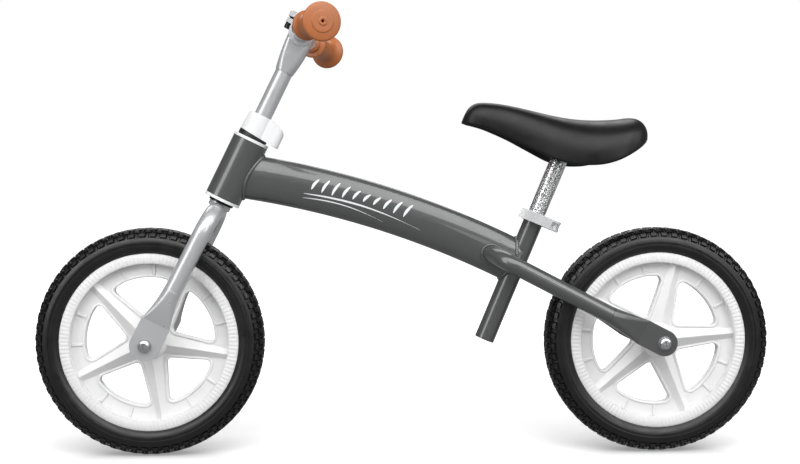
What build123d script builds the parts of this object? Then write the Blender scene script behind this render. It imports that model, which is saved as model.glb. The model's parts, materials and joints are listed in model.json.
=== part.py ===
from build123d import *
import os
from math import atan2, cos, radians, sin

# A balance bike for a small child, in millimetres. X points forward, Y to the rider's left and
# Z up. The origin is on the ground, midway between the axles, in the plane of symmetry.

# ---- driving dimensions ----------------------------------------------------------------------
WHEELBASE = 650
TYRE_R = 145
TYRE_HALF = 23.5
CROWN_HALF = 6

RIM_R = 112.8
RIM_HALF = 17
RIM_SEAT_R = 105
RIM_BASE_R = 100
WEB_HALF = 6
WINDOW_R = 84
SPOKES = 5
SPOKE_PITCH = 360 / SPOKES
HUB_HALF = 38
BEARING_R = 11
BEARING_WIDTH = 7

AXLE_R = 4
RUNNING_CLEARANCE = 0.06
DROPOUT_Y = 47
PLATE_THICKNESS = 5
FORK_PLATE_WIDTH = 38
STAY_PLATE_WIDTH = 33
WASHER = 1.6

TUBE_R = 11.1
TUBE_WALL = 1.8
SLIDE_R = TUBE_R + RUNNING_CLEARANCE

# Steering axis: it leans back 26 degrees, and starts at the bottom of the head tube.
STEER_ANGLE = 26
HEAD_BOTTOM = (232.3, 0, 327.5)
HEAD_LENGTH = 80.3
HEAD_R = 23.1
CUP_BORE_R = 20.5
CUP_LIP = 3.7
RACE_POCKET_R = 19
STEERER_R = 12.7
STEERER_TOP = 112
ARCH_DROP = 18.1
FORK_HALF = 43
FORK_BEND_R = 34

# Distances along the steering axis from the bottom of the head tube.
CLAMP_TOP = 116
CLAMP_LUG_HALF = 15
CLAMP_SCREW = (-25.5, 97)
QUILL_BOTTOM = 50
QUILL_TOP = 178
BAR_HEIGHT = 232
STEM_HALF = 16

# Handlebar: straight in the middle, then swept back and slightly down.
BAR_STRAIGHT = 65
BAR_END = 160
BAR_SWEEP = 28.7
BAR_DROP = 5.4
BAR_BEND_R = 60

# Seat axis: it leans back 22.6 degrees, and starts at the bottom of the seat tube.
SEAT_ANGLE = 22.6
SEAT_BOTTOM = (-102.2, 0, 145.2)
SEAT_TUBE_R = 12.7
SEAT_TUBE_LENGTH = 174
SOCKET_R = 11.7
SOCKET_DEPTH = 20
COLLAR_LOW = 162.8
COLLAR_HIGH = 175.8
COLLAR_R = 16.2
POST_LOW = 70
POST_HIGH = 268
SKEWER_BACK = 25

MAIN_TUBE_HALF_DEPTH = 28.5
MAIN_TUBE_HALF_WIDTH = 15
MAIN_TUBE_START = (218, 0, 357.3)
MAIN_TUBE_MID = (37.3, 0, 317.1)
MAIN_TUBE_END = (-143.5, 0, 244.5)
BEAD = 2.4

SADDLE_HALF_WIDTH = 64
BASE_X = -212
BASE_LENGTH = 68
BASE_WIDTH = 56


# ---- frames of reference ---------------------------------------------------------------------
def leaning_plane(origin, angle):
    """A plane whose Z leans back by angle, whose X points forward and whose Y points left."""
    tilt = radians(angle)
    return Plane(origin=origin, x_dir=(cos(tilt), 0, sin(tilt)), z_dir=(-sin(tilt), 0, cos(tilt)))


def side_of(plane):
    """The vertical plane of symmetry, drawn in the leaning plane's forward and up directions."""
    return Plane(origin=plane.origin, x_dir=plane.x_dir, z_dir=(0, -1, 0))


STEER = leaning_plane(HEAD_BOTTOM, STEER_ANGLE)
SEAT = leaning_plane(SEAT_BOTTOM, SEAT_ANGLE)
FRONT_AXLE = Vector(WHEELBASE / 2, 0, TYRE_R)
REAR_AXLE = Vector(-WHEELBASE / 2, 0, TYRE_R)
BAR_CENTRE = STEER.from_local_coords(Vector(0, 0, BAR_HEIGHT))


# ---- small helpers ---------------------------------------------------------------------------
def rod(radius, low, high):
    """A cylinder along Z from low to high."""
    return Pos(0, 0, (low + high) / 2) * Cylinder(radius, high - low)


def ring(outer, inner, low, high):
    """A tube along Z from low to high."""
    return rod(outer, low, high) - rod(inner, low - 1, high + 1)


def across(shape):
    """Turns a shape made along Z so that it lies along Y."""
    return Rot(-90, 0, 0) * shape


def slab(outline, thickness):
    """An outline thickened evenly to both sides of its plane."""
    return extrude(outline, thickness / 2, both=True)


def polar(radius, angle):
    return (radius * cos(radians(angle)), radius * sin(radians(angle)))


def round_bar(path, radius):
    """A round bar swept along a path."""
    start = Plane(origin=path @ 0, z_dir=path % 0)
    return sweep(start * Circle(radius), path)


def hex_nut(across_flats, bore, low, high):
    return extrude(RegularPolygon(across_flats / 2, 6, major_radius=False), high - low).moved(
        Pos(0, 0, low)
    ) - rod(bore, low - 1, high + 1)


def socket_screw(radius, head_radius, head_height, length):
    """A socket-head screw along -Z, with the top of its head at Z = head_height."""
    body = rod(head_radius, 0, head_height) + rod(radius, -length, 0)
    recess = extrude(RegularPolygon(head_radius * 0.5, 6), head_height * 0.6)
    body -= Pos(0, 0, head_height * 0.4) * recess
    return body


def place(plane, shape):
    return plane.location * shape


def group(shapes):
    """Several separate solids kept together in one sub-part."""
    return Compound(children=[shape for shape in shapes])


# ---- wheels ----------------------------------------------------------------------------------
def tyre():
    """A solid foam tyre: its foot sits in the rim, and its round crown has a flat middle."""
    foot = 13.8
    sidewall = Spline(
        (RIM_R + 0.1, 18), (123, TYRE_HALF), (136, TYRE_HALF - 3.5), (TYRE_R, CROWN_HALF),
        tangents=((0.5, 1), (0, -1)),
    )
    crown = Line((TYRE_R, CROWN_HALF), (TYRE_R, -CROWN_HALF))
    lower = mirror(sidewall, Plane.XZ)
    foot_line = Polyline(
        (RIM_R + 0.1, 18), (RIM_R + 0.1, foot), (RIM_SEAT_R, foot),
        (RIM_SEAT_R, -foot), (RIM_R + 0.1, -foot), (RIM_R + 0.1, -18),
    )
    profile = make_face(sidewall.edges() + crown.edges() + lower.edges() + foot_line.edges())
    return revolve(profile, Axis.Y)


def rim_window(angle):
    """One opening between two spokes: a rounded triangle with a curved outer side."""
    apex = polar(26, angle)
    first = polar(WINDOW_R, angle - 29.8)
    last = polar(WINDOW_R, angle + 29.8)
    outline = [
        Line(apex, first),
        ThreePointArc(first, polar(WINDOW_R, angle), last),
        Line(last, apex),
    ]
    face = make_face(outline)
    return slab(Plane.XZ * fillet(face.vertices(), 8), 4 * WEB_HALF)


def spoke_section(radius, half_width, crest):
    """The section of a spoke: flat sides that rise to a crest on both faces of the wheel."""
    plane = Plane(origin=(radius, 0, 0), x_dir=(0, 1, 0), z_dir=(1, 0, 0))
    flat = WEB_HALF - 0.5
    points = [(crest, 0), (flat, half_width), (-flat, half_width)]
    points += [(-y, -z) for y, z in points]
    return plane * make_face(Polyline(*points, close=True))


def rim(first_spoke):
    """A moulded wheel: rim channel, recessed web, crested spokes and a hub with bearing seats."""
    channel = Polyline(
        (RIM_BASE_R, -RIM_HALF), (RIM_R, -RIM_HALF), (RIM_R, -13.9), (RIM_SEAT_R, -13.9),
        (RIM_SEAT_R, 13.9), (RIM_R, 13.9), (RIM_R, RIM_HALF), (RIM_BASE_R, RIM_HALF), close=True,
    )
    body = revolve(make_face(channel), Axis.Y)
    body += slab(Plane.XZ * Circle(RIM_BASE_R + 0.5), 2 * WEB_HALF)
    hub = Polyline(
        (0, -HUB_HALF), (15, -HUB_HALF), (16.5, -22), (22, -13), (22, 13), (16.5, 22),
        (15, HUB_HALF), (0, HUB_HALF), close=True,
    )
    spoke = loft([spoke_section(12, 14, 14), spoke_section(RIM_BASE_R + 0.5, 7, 11.5)])
    tab = Pos(92.5, 0, 0) * Box(14, 2 * (WEB_HALF + 1.2), 3)
    for index in range(SPOKES):
        angle = first_spoke + index * SPOKE_PITCH
        body -= rim_window(angle + SPOKE_PITCH / 2)
        body += Rot(0, -angle, 0) * spoke
        for offset in (24, 48):
            body += Rot(0, -angle - offset, 0) * tab
    body += revolve(make_face(hub), Axis.Y)
    body -= across(rod(8.5, -HUB_HALF - 1, HUB_HALF + 1))
    for low in (-HUB_HALF - 1, HUB_HALF - BEARING_WIDTH):
        body -= across(rod(BEARING_R, low, low + BEARING_WIDTH + 1))
    return body


def wheel_bearings():
    """Two sealed ball bearings, each with a shallow seal groove in its side faces."""
    bearing = ring(BEARING_R, AXLE_R + RUNNING_CLEARANCE, 0, BEARING_WIDTH)
    for low in (-1, BEARING_WIDTH - 0.4):
        bearing -= ring(9.2, 6.4, low, low + 1.4)
    low = Pos(0, 0, -HUB_HALF) * bearing
    high = Pos(0, 0, HUB_HALF - BEARING_WIDTH) * bearing
    return group([across(low), across(high)])


def axle_bolt():
    """The axle: a long bolt with a domed head and a cross recess on the left side."""
    plate = DROPOUT_Y + PLATE_THICKNESS / 2 + WASHER
    dome = Polyline(
        (0, plate), (7.6, plate), (7.6, plate + 2.2), (6.6, plate + 4.2), (4.4, plate + 5.6),
        (0, plate + 6), close=True,
    )
    head = revolve(make_face(dome), Axis.Y)
    for turn in (0, 90):
        head -= Pos(0, plate + 5, 0) * Rot(0, turn, 0) * Box(6.5, 3.5, 1.5)
    return head + across(rod(AXLE_R, -plate - 6.5, plate))


def axle_nut():
    plate = DROPOUT_Y + PLATE_THICKNESS / 2 + WASHER
    return across(hex_nut(13, AXLE_R, -plate - 6, -plate))


def axle_washers():
    low = DROPOUT_Y + PLATE_THICKNESS / 2
    washer = ring(8.5, AXLE_R + 0.2, 0, WASHER)
    return group([across(Pos(0, 0, low) * washer), across(Pos(0, 0, -low - WASHER) * washer)])


def axle_spacers():
    """Sleeves on the axle: one between the bearings and one outside each of them."""
    inner_end = HUB_HALF - BEARING_WIDTH - 0.3
    outer_low = HUB_HALF + 0.3
    outer_high = DROPOUT_Y - PLATE_THICKNESS / 2
    middle = ring(5.8, AXLE_R + 0.1, -inner_end, inner_end)
    side = ring(6.4, AXLE_R + 0.1, outer_low, outer_high)
    other = ring(6.4, AXLE_R + 0.1, -outer_high, -outer_low)
    return group([across(middle), across(side), across(other)])


# ---- tubes with flattened ends ---------------------------------------------------------------
def flattened_end(plane, width):
    """The end of a tube pressed flat round the axle. Z runs down the tube to the axle hole."""
    tube = place(plane, Pos(0, 0, -76) * SlotOverall(2 * TUBE_R + 0.1, 2 * TUBE_R))
    middle = place(plane, Pos(0, 0, -52) * SlotOverall(27.5, 15))
    flat = place(plane, Pos(0, 0, -31) * SlotOverall(width, PLATE_THICKNESS))
    taper = loft([tube, middle, flat])
    plate = Pos(0, 0, -15.5) * Box(width, PLATE_THICKNESS, 31)
    tip = Rot(90, 0, 0) * Cylinder(width / 2, PLATE_THICKNESS)
    end = taper + place(plane, plate + tip)
    hole = Rot(90, 0, 0) * Cylinder(AXLE_R + 0.1, 4 * PLATE_THICKNESS)
    return end - place(plane, hole)


def dropout_plane(axle, direction, side):
    """A plane at the axle hole of one side: Z along the tube and Y across the bike."""
    origin = Vector(axle.X, side * DROPOUT_Y, axle.Z)
    flat = Vector(direction.X, 0, direction.Z).normalized()
    return Plane(origin=origin, x_dir=Vector(0, 1, 0).cross(flat), z_dir=flat)


# ---- fork ------------------------------------------------------------------------------------
ARCH_TOP = STEER.from_local_coords(Vector(0, 0, -ARCH_DROP))
BLADE = (FRONT_AXLE - ARCH_TOP).normalized()
BLADE_LENGTH = (FRONT_AXLE - ARCH_TOP).length


def fork_path():
    """An upside-down U: out along the top, round two bends and down both blades."""
    plane = Plane(origin=ARCH_TOP, x_dir=(0, 1, 0), z_dir=Vector(0, 1, 0).cross(BLADE))
    low = BLADE_LENGTH - 75
    low_y = FORK_HALF + (DROPOUT_Y - FORK_HALF) * low / BLADE_LENGTH
    corners = [(-low_y, low), (-FORK_HALF, 0), (FORK_HALF, 0), (low_y, low)]
    return plane * FilletPolyline(*corners, radius=FORK_BEND_R)


def fork():
    path = fork_path()
    body = round_bar(path, TUBE_R) - round_bar(path, TUBE_R - TUBE_WALL)
    for side in (1, -1):
        body += flattened_end(dropout_plane(FRONT_AXLE, BLADE, side), FORK_PLATE_WIDTH)
    return body


def steerer_tube():
    arch = round_bar(fork_path(), TUBE_R)
    return place(STEER, ring(STEERER_R, SLIDE_R, -14, STEERER_TOP)) - arch


def fork_weld():
    """The bead between the steerer and the top of the fork."""
    bead = place(STEER, ring(STEERER_R + 1.6, STEERER_R, -13.5, -7.1))
    return bead - round_bar(fork_path(), TUBE_R)


# ---- headset ---------------------------------------------------------------------------------
def headset_cup(low):
    """A pressed-in cup with a lip below the head tube and a ball race inside."""
    cup = rod(HEAD_R + 0.1, -CUP_LIP, 0) + rod(CUP_BORE_R, 0, 11)
    cup -= rod(RACE_POCKET_R, -CUP_LIP - 1, 7)
    cup -= rod(STEERER_R + 0.8, 0, 12)
    if low:
        return place(STEER, cup)
    return place(STEER, Pos(0, 0, HEAD_LENGTH) * Rot(180, 0, 0) * cup)


def headset_balls(height):
    """A ring of loose balls in one race."""
    ball = Pos(16.2, 0, height) * Sphere(2.3)
    return group([place(STEER, Rot(0, 0, 24 * index) * ball) for index in range(15)])


def crown_race():
    flange = ring(STEERER_R + 3.5, STEERER_R, -7, 0)
    return place(STEER, flange + ring(RACE_POCKET_R - 0.5, STEERER_R, -CUP_LIP, 1.6))


def clamp_underside(forward):
    """Height of the clamp's tilted underside along the steering axis."""
    return 89.2 + 0.094 * forward


def clamp_side_outline():
    """The side view of the handlebar clamp: its underside is tilted and its back is rounded."""
    outline = make_face(Polyline(
        (19, clamp_underside(19)), (16.6, CLAMP_TOP), (-14, CLAMP_TOP), (-34.2, 108.5),
        (-34.2, clamp_underside(-34.2)), close=True,
    ))
    back = outline.vertices().group_by(Axis.X)[0].sort_by(Axis.Y)[-1]
    return place(side_of(STEER), fillet(back, 9))


def headset_cover():
    """The black locking ring on the upper race, cut to the clamp's tilted underside."""
    flange = ring(HEAD_R - 4, STEERER_R, HEAD_LENGTH + CUP_LIP + 0.35, 92)
    cone = ring(RACE_POCKET_R - 0.5, STEERER_R, HEAD_LENGTH - 1.6, HEAD_LENGTH + CUP_LIP + 1)
    low, high = clamp_underside(-40) - 0.05, clamp_underside(40) - 0.05
    cutter = make_face(Polyline((40, high), (40, 120), (-40, 120), (-40, low), close=True))
    cover = place(STEER, flange + cone)
    return cover - slab(place(side_of(STEER), cutter), 80)


def stem_clamp():
    """The plastic collar that grips the slotted steerer on the stem, with a lug behind."""
    plan = Circle(18.6) + Pos(-17, 0) * RectangleRounded(36, 2 * CLAMP_LUG_HALF, 9)
    body = place(STEER, Pos(0, 0, 84) * extrude(plan, 40))
    body &= slab(clamp_side_outline(), 60)
    body -= place(STEER, rod(STEERER_R, 80, 125))
    body -= place(STEER, Pos(-26, 0, 100) * Box(30, 2.4, 50))
    lug = Pos(CLAMP_SCREW[0], 0, CLAMP_SCREW[1])
    body -= place(STEER, lug * across(rod(2.6, -20, 9)))
    body -= place(STEER, lug * Rot(0, 0, 180) * across(rod(5, 9, 20)))
    body -= place(STEER, lug * across(extrude(RegularPolygon(4.05, 6, major_radius=False), 3.1).moved(Pos(0, 0, 6))))
    return body


def stem_clamp_screw():
    screw = Pos(0, 0, 9) * socket_screw(2.5, 4.4, 3.5, 17.5)
    return place(STEER, Pos(CLAMP_SCREW[0], 0, CLAMP_SCREW[1]) * Rot(0, 0, 180) * across(screw))


def stem_clamp_nut():
    return place(STEER, Pos(CLAMP_SCREW[0], 0, CLAMP_SCREW[1]) * across(hex_nut(8, 2.5, 6, 9)))


# ---- stem and handlebar ----------------------------------------------------------------------
def stem_quill():
    return place(STEER, ring(TUBE_R, TUBE_R - 2, QUILL_BOTTOM, QUILL_TOP))


def stem_jaws():
    """Two ears in front of the bar, one above the other, that the pinch screw draws together."""
    low = Pos(-18, 0, 239) * Box(14, 2 * STEM_HALF - 6, 6)
    high = Pos(-18, 0, 248) * Box(14, 2 * STEM_HALF - 6, 6.5)
    return [Rot(0, 0, 180) * low, Rot(0, 0, 180) * high]


def stem_body():
    """The forged stem: it grows from the quill into the clamp that holds the bar."""
    foot = Pos(0, 0, QUILL_TOP) * RectangleRounded(23.4, 23, 10)
    waist = Pos(-0.2, 0, 213) * RectangleRounded(31.2, 2 * STEM_HALF - 2, 6)
    neck = Pos(0, 0, BAR_HEIGHT) * RectangleRounded(31.6, 2 * STEM_HALF, 6)
    body = loft([foot, waist, neck])
    body += Pos(0, 0, BAR_HEIGHT) * across(rod(17, -STEM_HALF, STEM_HALF))
    for ear in stem_jaws():
        body += ear
    body -= Pos(0, 0, BAR_HEIGHT) * across(rod(SLIDE_R, -40, 40))
    body -= Pos(18, 0, 243.4) * Box(24, 60, 2.6)
    body -= Pos(20.8, 0, 0) * rod(3.1, 234, 256)
    body -= Pos(20.8, 0, 0) * rod(4.9, 226, 236.2)
    return place(STEER, body)


def stem_screw():
    """The black pinch screw, driven from below through both ears."""
    screw = rod(4.6, 229.5, 236.2) + rod(3, 236.2, 253)
    screw -= Pos(0, 0, 229.5) * extrude(RegularPolygon(2.6, 6), 4)
    return place(STEER, Pos(20.8, 0, 0) * screw)


def bar_path():
    end = (BAR_CENTRE.X - BAR_SWEEP, BAR_END - 3, BAR_CENTRE.Z - BAR_DROP)
    corners = [
        (end[0], -end[1], end[2]), (BAR_CENTRE.X, -BAR_STRAIGHT, BAR_CENTRE.Z),
        (BAR_CENTRE.X, BAR_STRAIGHT, BAR_CENTRE.Z), end,
    ]
    return FilletPolyline(*corners, radius=BAR_BEND_R)


def handlebar():
    path = bar_path()
    return round_bar(path, TUBE_R) - round_bar(path, TUBE_R - TUBE_WALL)


def grip(side):
    """A spool-shaped grip: small inner flange, waisted sleeve, large domed end disc."""
    corner = Vector(BAR_CENTRE.X, side * BAR_STRAIGHT, BAR_CENTRE.Z)
    end = Vector(BAR_CENTRE.X - BAR_SWEEP, side * (BAR_END - 3), BAR_CENTRE.Z - BAR_DROP)
    along = (end - corner).normalized()
    reach = (end - corner).length
    first = 29.5
    bore = TUBE_R
    profile = make_face(Polyline(
        (bore, first), (16.6, first), (18, first + 1.4), (18, first + 3.6), (15.2, first + 6.4),
        (13.6, first + 9), (13.6, reach - 13), (16, reach - 7.5), (21.6, reach - 4),
        (22.9, reach - 2.4), (22.9, reach - 0.4), (21.4, reach + 1), (13, reach + 2),
        (3, reach + 3), (1.4, reach + 3), (1.4, reach), (bore, reach), close=True,
    ))
    turned = Rot(90, 0, 0) * profile
    return place(Plane(origin=corner, z_dir=along), revolve(turned, Axis.Z))


# ---- frame -----------------------------------------------------------------------------------
def main_tube_path():
    return ThreePointArc(MAIN_TUBE_START, MAIN_TUBE_MID, MAIN_TUBE_END)


def main_tube_solid(growth):
    """The curved oval tube as a full bar, with its section grown or shrunk all round."""
    path = main_tube_path()
    section = Ellipse(MAIN_TUBE_HALF_WIDTH + growth, MAIN_TUBE_HALF_DEPTH + growth)
    start = Plane(origin=path @ 0, x_dir=(0, 1, 0), z_dir=path % 0)
    return sweep(start * section, path)


def main_tube():
    """The frame's backbone, cut to fit round the head tube and the seat tube."""
    body = main_tube_solid(0) - main_tube_solid(-2)
    body -= place(STEER, rod(HEAD_R, -30, HEAD_LENGTH + 30))
    body -= place(SEAT, rod(SEAT_TUBE_R, 40, 160))
    return largest(body)


def largest(shape):
    """The largest solid of a shape, without the offcuts beyond a joint."""
    return sorted(shape.solids(), key=lambda solid: solid.volume)[-1]


def head_tube():
    tube = ring(HEAD_R, CUP_BORE_R, 0, HEAD_LENGTH)
    return place(STEER, tube)


def seat_tube():
    tube = ring(SEAT_TUBE_R, SLIDE_R, 0, SEAT_TUBE_LENGTH)
    tube -= rod(SOCKET_R, -1, SOCKET_DEPTH)
    tube -= Pos(-SEAT_TUBE_R, 0, SEAT_TUBE_LENGTH - 17) * Box(8, 3, 36)
    return place(SEAT, tube)


def bead_round(post, shape, allowance):
    """A weld bead: what a swollen tube has in common with a sleeve round its neighbour."""
    return (shape(BEAD) & post(allowance)) - post(0) - shape(0)


def frame_welds():
    """The beads where the main tube meets the head tube and the seat tube."""
    def head(extra):
        return place(STEER, rod(HEAD_R + extra, -2, HEAD_LENGTH + 2))

    def seat(extra):
        return place(SEAT, rod(SEAT_TUBE_R + extra, 60, 150))

    beads = [
        largest(bead_round(head, main_tube_solid, BEAD)),
        largest(bead_round(seat, main_tube_solid, BEAD)),
    ]
    return group(beads)


def stay_path(side):
    """Out of the main tube's side, round a bend, and straight back towards the rear axle."""
    slope = (253.2 - TYRE_R) / (-116.0 + WHEELBASE / 2)

    def point(x, y):
        return Vector(x, side * y, TYRE_R + (x + WHEELBASE / 2) * slope)

    last_x = -WHEELBASE / 2 + 75 * cos(atan2(slope, 1))
    last_y = 41 + 6 * (-last_x - 128) / (WHEELBASE / 2 - 128)
    corners = [point(-105, 4), point(-127, 41), point(last_x, last_y)]
    return FilletPolyline(*corners, radius=30)


def stay(side):
    path = stay_path(side)
    body = round_bar(path, TUBE_R) - round_bar(path, TUBE_R - TUBE_WALL)
    body -= main_tube_solid(0)
    body = largest(body)
    direction = (path % 1).normalized()
    return body + flattened_end(dropout_plane(REAR_AXLE, direction, side), STAY_PLATE_WIDTH)


def stay_welds():
    """The beads round the roots of both stays."""
    beads = []
    for side in (1, -1):
        bead = round_bar(stay_path(side), TUBE_R + BEAD) & main_tube_solid(BEAD)
        bead -= main_tube_solid(0)
        bead -= round_bar(stay_path(side), TUBE_R)
        beads.append(largest(bead))
    return group(beads)


# ---- seat clamp ------------------------------------------------------------------------------
COLLAR_MID = (COLLAR_LOW + COLLAR_HIGH) / 2
BARREL = (-SKEWER_BACK, 15.6)


def seat_collar():
    """The split ring round the top of the seat tube, with two ears behind it."""
    plan = Circle(COLLAR_R) + Pos(-22, 0) * RectangleRounded(22, 16, 3)
    height = COLLAR_HIGH - COLLAR_LOW
    body = Pos(0, 0, COLLAR_LOW) * extrude(plan, height)
    body -= rod(SEAT_TUBE_R, COLLAR_LOW - 1, COLLAR_HIGH + 1)
    body -= Pos(-25, 0, COLLAR_MID) * Box(30, 2.4, height + 2)
    body -= Pos(-SKEWER_BACK, 0, COLLAR_MID) * across(rod(2.6, -20, 20))
    return place(SEAT, body)


def seat_skewer():
    """The skewer through the ears, with the cross barrel that the lever turns on."""
    skewer = across(rod(2.5, -15, BARREL[1] - 1))
    barrel = Pos(0, BARREL[1], 0) * rod(4, -5.4, 5.4)
    return place(SEAT, Pos(-SKEWER_BACK, 0, COLLAR_MID) * (skewer + barrel))


def seat_skewer_nut():
    nut = rod(6.5, -14, -8) - rod(2.5, -20, 0)
    for index in range(12):
        nut -= Rot(0, 0, 30 * index) * Pos(6.9, 0, -11) * Cylinder(0.8, 8)
    return place(SEAT, Pos(-SKEWER_BACK, 0, COLLAR_MID) * across(nut))


def seat_lever():
    """The quick-release lever: a forked cam on the barrel and an arm that hugs the collar."""
    height = COLLAR_HIGH - COLLAR_LOW
    x, y = BARREL
    arc = ThreePointArc((x - 1, y + 4.6), (4, 22.4), (35.5, 9.2))
    arm = trace(arc, 3.4)
    cam = Pos(x, y) * Circle(6.6)
    lever = Pos(0, 0, COLLAR_LOW) * extrude(arm, height)
    lever += Pos(0, 0, COLLAR_LOW) * extrude(cam, height)
    lever -= Pos(x, y, COLLAR_MID) * Cylinder(9.4, 7.4)
    lever -= Pos(x, y, COLLAR_MID) * Cylinder(4.06, height + 2)
    return place(SEAT, lever)


# ---- saddle ----------------------------------------------------------------------------------
def saddle_side_outline():
    """The side view of the saddle: raised nose, dip, kicked-up tail and a deep skirt."""
    top = Spline(
        (-72, 0, 424), (-82.5, 0, 445), (-101, 0, 449.6), (-144, 0, 443.4), (-196, 0, 431.5),
        (-245, 0, 427), (-289, 0, 430), (-304.5, 0, 421), (-308.5, 0, 408),
    )
    bottom = Spline(
        (-308.5, 0, 408), (-294, 0, 391), (-262, 0, 373), (-230, 0, 368), (-200, 0, 370.5),
        (-168, 0, 384), (-135, 0, 401), (-100, 0, 415.5), (-78, 0, 420), (-72, 0, 424),
    )
    return make_face([top, bottom])


def saddle_plan_outline():
    """The saddle from above: a narrow rounded nose that widens to the seat."""
    wide = SADDLE_HALF_WIDTH
    left = Spline(
        (-71, 0, 0), (-77, 12, 0), (-95, 20, 0), (-130, 25, 0), (-172, 38, 0),
        (-212, wide - 8, 0), (-248, wide, 0), (-280, wide - 5, 0), (-300, wide - 23, 0),
        (-308, wide - 44, 0), (-309.5, 0, 0),
    )
    right = mirror(left, Plane.XZ)
    return make_face(left.edges() + right.edges())


def saddle_pad():
    """The padded saddle as one closed solid, hollow underneath where the base sits."""
    body = slab(saddle_side_outline(), 2 * SADDLE_HALF_WIDTH + 20)
    body &= Pos(0, 0, 350) * extrude(saddle_plan_outline(), 120)
    body = largest(body)
    pocket = Pos(BASE_X, 0, 375) * Box(BASE_LENGTH, BASE_WIDTH, 44)
    return largest(body - pocket)


POST_TOP = SEAT.from_local_coords(Vector(0, 0, POST_HIGH))


def saddle_base():
    """The moulded base: a plate in the hollow of the saddle, with a socket for the post."""
    plate = Pos(BASE_X, 0, 393.5) * Box(BASE_LENGTH, BASE_WIDTH, 7)
    boss = place(SEAT, rod(17, 250, 278)) & Pos(0, 0, 386) * Box(900, 200, 22)
    base = plate + boss
    for side in (1, -1):
        rib = Pos(BASE_X, side * (BASE_WIDTH / 2 - 1.5), 391) * Box(BASE_LENGTH, 3, 6)
        base += rib
    base -= place(SEAT, rod(TUBE_R, 200, POST_HIGH))
    base -= place(SEAT, Pos(0, 0, 257) * across(rod(3, -30, 30)))
    return largest(base)


def seat_post():
    post = ring(TUBE_R, TUBE_R - 1.8, POST_LOW, POST_HIGH)
    post -= Pos(0, 0, 257) * across(rod(3, -30, 30))
    return place(SEAT, post)


def saddle_bolt():
    head = rod(5, 17, 21) - Pos(0, 0, 18.5) * extrude(RegularPolygon(2.8, 6), 4)
    return place(SEAT, Pos(0, 0, 257) * across(head + rod(3, -20.5, 17)))


def saddle_bolt_nut():
    return place(SEAT, Pos(0, 0, 257) * across(hex_nut(10, 3, -20.5, -17)))


def saddle_screws():
    """Four screws that hold the base up into the saddle."""
    screws = []
    for x in (-238, -186):
        for y in (-22, 22):
            screws.append(Pos(x, y, 390) * (rod(4, -2.2, 0) + rod(1.8, 0, 16)))
    return group(screws)


# ---- assembly --------------------------------------------------------------------------------
def drilled(shape):
    """A part of the saddle with the holes of its four screws."""
    for screw in saddle_screws().solids():
        shape -= screw
    return shape


def wheel_parts(name, axle, first_spoke):
    """The sub-parts of one wheel and its axle, moved to the axle's place."""
    here = Pos(axle.X, axle.Y, axle.Z)
    return {
        name + "_tyre": here * tyre(),
        name + "_rim": here * rim(first_spoke),
        name + "_wheel_bearings": here * wheel_bearings(),
        name + "_axle_bolt": here * axle_bolt(),
        name + "_axle_nut": here * axle_nut(),
        name + "_axle_washers": here * axle_washers(),
        name + "_axle_spacers": here * axle_spacers(),
    }


def build():
    parts = {
        "head_tube": head_tube(),
        "main_tube": main_tube(),
        "seat_tube": seat_tube(),
        "left_stay": stay(1),
        "right_stay": stay(-1),
        "frame_welds": frame_welds(),
        "stay_welds": stay_welds(),
        "lower_headset_cup": headset_cup(True),
        "upper_headset_cup": headset_cup(False),
        "lower_headset_balls": headset_balls(4.4),
        "upper_headset_balls": headset_balls(HEAD_LENGTH - 4.4),
        "crown_race": crown_race(),
        "headset_cover": headset_cover(),
        "steerer_tube": steerer_tube(),
        "fork": fork(),
        "fork_weld": fork_weld(),
        "stem_clamp": stem_clamp(),
        "stem_clamp_screw": stem_clamp_screw(),
        "stem_clamp_nut": stem_clamp_nut(),
        "stem_quill": stem_quill(),
        "stem_body": stem_body(),
        "stem_screw": stem_screw(),
        "handlebar": handlebar(),
        "left_grip": grip(1),
        "right_grip": grip(-1),
        "seat_collar": seat_collar(),
        "seat_skewer": seat_skewer(),
        "seat_skewer_nut": seat_skewer_nut(),
        "seat_lever": seat_lever(),
        "seat_post": seat_post(),
        "saddle_base": drilled(saddle_base()),
        "saddle_pad": drilled(saddle_pad()),
        "saddle_bolt": saddle_bolt(),
        "saddle_bolt_nut": saddle_bolt_nut(),
        "saddle_screws": saddle_screws(),
    }
    parts.update(wheel_parts("front", FRONT_AXLE, 117.5))
    parts.update(wheel_parts("rear", REAR_AXLE, 175.5))
    return parts


os.makedirs("parts", exist_ok=True)
for node, shape in build().items():
    export_step(shape, "parts/" + node + ".step")
    print(node, "solids", len(shape.solids()), "volume", round(shape.volume))
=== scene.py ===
import json
import math
import random

import bmesh
import bpy
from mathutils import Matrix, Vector


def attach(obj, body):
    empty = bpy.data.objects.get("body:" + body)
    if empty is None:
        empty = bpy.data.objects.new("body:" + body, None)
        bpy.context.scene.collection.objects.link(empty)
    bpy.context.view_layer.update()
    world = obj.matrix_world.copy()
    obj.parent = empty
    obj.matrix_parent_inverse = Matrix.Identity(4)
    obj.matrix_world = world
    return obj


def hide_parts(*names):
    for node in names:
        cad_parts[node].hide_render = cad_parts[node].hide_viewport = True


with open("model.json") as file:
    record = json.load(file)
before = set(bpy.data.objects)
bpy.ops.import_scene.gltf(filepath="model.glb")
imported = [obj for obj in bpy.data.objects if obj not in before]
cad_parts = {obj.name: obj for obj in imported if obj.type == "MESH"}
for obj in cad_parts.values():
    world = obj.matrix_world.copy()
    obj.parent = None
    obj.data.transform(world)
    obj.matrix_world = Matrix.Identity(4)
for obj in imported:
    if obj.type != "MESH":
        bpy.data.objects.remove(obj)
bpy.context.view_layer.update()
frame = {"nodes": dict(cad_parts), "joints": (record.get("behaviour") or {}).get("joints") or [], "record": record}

# A balance bike's looks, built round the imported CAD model. Metres. X points forward, Y to the
# rider's left and Z up, with the origin on the ground midway between the axles.

MM = 0.001
random.seed(11)

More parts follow.
